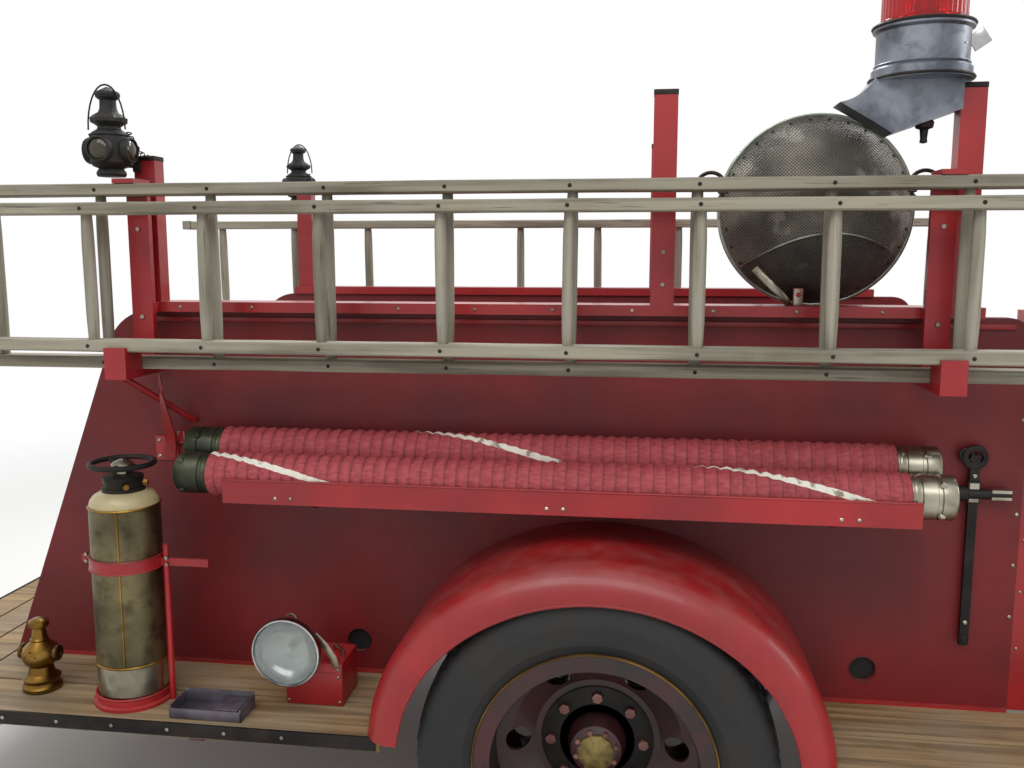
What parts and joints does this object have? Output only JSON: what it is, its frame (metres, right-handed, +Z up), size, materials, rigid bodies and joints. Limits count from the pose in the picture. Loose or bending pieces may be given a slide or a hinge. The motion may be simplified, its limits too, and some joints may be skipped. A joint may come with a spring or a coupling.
{
  "type": "fire engine",
  "caption": "Open-cab fire engine on a truck chassis, with ladders along both sides, suction hoses in a tray, a beacon, a pump and hand gear.",
  "frame": {"origin": "on the ground, under the middle of the whole vehicle", "axes": "+X forward, +Y to the driver's left, +Z up"},
  "size_m": [6.8, 1.93, 2.329],
  "materials": {
    "frame_iron": "dull dark red paint",
    "chassis_iron": "greasy",
    "engine_iron": "grey-green engine paint",
    "exhaust_steel": "rusted",
    "body_red": "aged gloss paint",
    "bracket_red": "aged gloss paint",
    "bracket_iron": "black paint",
    "board_wood": "worn oiled oak",
    "ladder_wood": "weathered grey",
    "hose_rubber": "red rubber with a white stripe",
    "coupling_chrome": "worn",
    "basket_metal": "dull grey-green",
    "lantern_black": "sooty black",
    "strap_leather": "dark, worn",
    "extinguisher_brass": "tarnished",
    "lamp_chrome": "polished",
    "nozzle_brass": "polished",
    "wrench_iron": "dark iron",
    "beacon_metal": "dull grey",
    "beacon_glass": "red translucent",
    "pump_iron": "dull bronze",
    "seat_leather": "black, creased",
    "chrome_trim": "polished",
    "grille_black": "dark",
    "screen_metal": "nickel plate",
    "screen_glass": "clear",
    "column_black": "gloss black",
    "wheel_black": "hard rubber",
    "wheel_red": "deep red, greasy",
    "tyre_rubber": "worn"
  },
  "bodies": {
    "chassis": {"frame_rails": "frame_iron", "cross_members": "frame_iron", "board_arms": "frame_iron", "front_bumper": "chrome_trim", "front_axle": "chassis_iron", "rear_axle": "chassis_iron", "leaf_springs": "chassis_iron", "drivetrain": "engine_iron", "exhaust": "exhaust_steel", "body_sides": "body_red", "hose_bed": "body_red", "cap_rails": "body_red", "rear_fenders": "body_red", "front_fenders": "body_red", "running_boards": "board_wood", "ladder_bed": "ladder_wood", "ladder_bed_rungs": "ladder_wood", "ladder_fly": "ladder_wood", "ladder_fly_rungs": "ladder_wood", "ladder_far": "ladder_wood", "ladder_brackets": "bracket_iron", "hose_tray": "bracket_red", "suction_hoses": "hose_rubber", "hose_couplings": "coupling_chrome", "strainer_baskets": "basket_metal", "lanterns": "lantern_black", "hand_straps": "strap_leather", "extinguisher": "extinguisher_brass", "extinguisher_holder": "bracket_red", "hand_lamp": "lamp_chrome", "nozzle": "nozzle_brass", "hydrant_wrench": "wrench_iron", "beacon_base": "beacon_metal", "beacon_lens": "beacon_glass", "pump_panels": "body_red", "pump_unit": "pump_iron", "cab_tub": "body_red", "seat_pads": "seat_leather", "cowl": "body_red", "hood_ledges": "body_red", "radiator_shell": "chrome_trim", "radiator_grille": "grille_black", "windshield_frame": "screen_metal", "windshield_glass": "screen_glass", "steering_column": "column_black", "lamps": "chrome_trim"},
    "front_wheel_left": {"front_wheel_left": "wheel_red", "front_tyre_left": "tyre_rubber"},
    "front_wheel_right": {"front_wheel_right": "wheel_red", "front_tyre_right": "tyre_rubber"},
    "rear_wheels_left": {"rear_wheels_left": "wheel_red", "rear_tyres_left": "tyre_rubber"},
    "rear_wheels_right": {"rear_wheels_right": "wheel_red", "rear_tyres_right": "tyre_rubber"},
    "knuckle_left": {"knuckle_left": "chassis_iron"},
    "knuckle_right": {"knuckle_right": "chassis_iron"},
    "tie_rod": {"tie_rod": "chassis_iron"},
    "steering_wheel": {"steering_wheel": "wheel_black"},
    "hood_left": {"hood_left": "body_red"},
    "hood_right": {"hood_right": "body_red"}
  },
  "joints": [
    {"name": "steer_left", "type": "hinge", "parent": "chassis", "child": "knuckle_left", "pos_m": [2.65, 0.69, 0.432], "axis": [0, 0, 1], "range_deg": [-28, 28]},
    {"name": "steer_right", "type": "hinge", "parent": "chassis", "child": "knuckle_right", "pos_m": [2.65, -0.69, 0.432], "axis": [0, 0, 1], "range_deg": [-28, 28]},
    {"name": "tie_rod_pivot", "type": "hinge", "parent": "knuckle_left", "child": "tie_rod", "pos_m": [2.5, 0.69, 0.3435], "axis": [0, 0, 1], "range_deg": [-28, 28]},
    {"name": "steering_wheel_turn", "type": "hinge", "parent": "chassis", "child": "steering_wheel", "pos_m": [0.76, 0.33, 1.4], "axis": [-0.7669, 0, 0.6418], "range_deg": [-364, 364]},
    {"name": "front_wheel_left_spin", "type": "hinge", "parent": "knuckle_left", "child": "front_wheel_left", "pos_m": [2.65, 0.78, 0.432], "axis": [0, 1, 0], "continuous": true},
    {"name": "front_wheel_right_spin", "type": "hinge", "parent": "knuckle_right", "child": "front_wheel_right", "pos_m": [2.65, -0.78, 0.432], "axis": [0, 1, 0], "continuous": true},
    {"name": "rear_wheels_left_spin", "type": "hinge", "parent": "chassis", "child": "rear_wheels_left", "pos_m": [-1.34, 0.775, 0.432], "axis": [0, 1, 0], "continuous": true},
    {"name": "rear_wheels_right_spin", "type": "hinge", "parent": "chassis", "child": "rear_wheels_right", "pos_m": [-1.34, -0.775, 0.432], "axis": [0, 1, 0], "continuous": true},
    {"name": "hood_left_lift", "type": "hinge", "parent": "chassis", "child": "hood_left", "pos_m": [1.263, 0.003, 1.385], "axis": [0.999, 0, -0.0442], "range_deg": [0, 60]},
    {"name": "hood_right_lift", "type": "hinge", "parent": "chassis", "child": "hood_right", "pos_m": [1.263, -0.003, 1.385], "axis": [-0.999, 0, 0.0442], "range_deg": [0, 60]}
  ],
  "couplings": [
    {"joint": "steer_right", "follows": "steer_left", "ratio": 1},
    {"joint": "tie_rod_pivot", "follows": "steer_left", "ratio": -1},
    {"joint": "steering_wheel_turn", "follows": "steer_left", "ratio": 13}
  ]
}
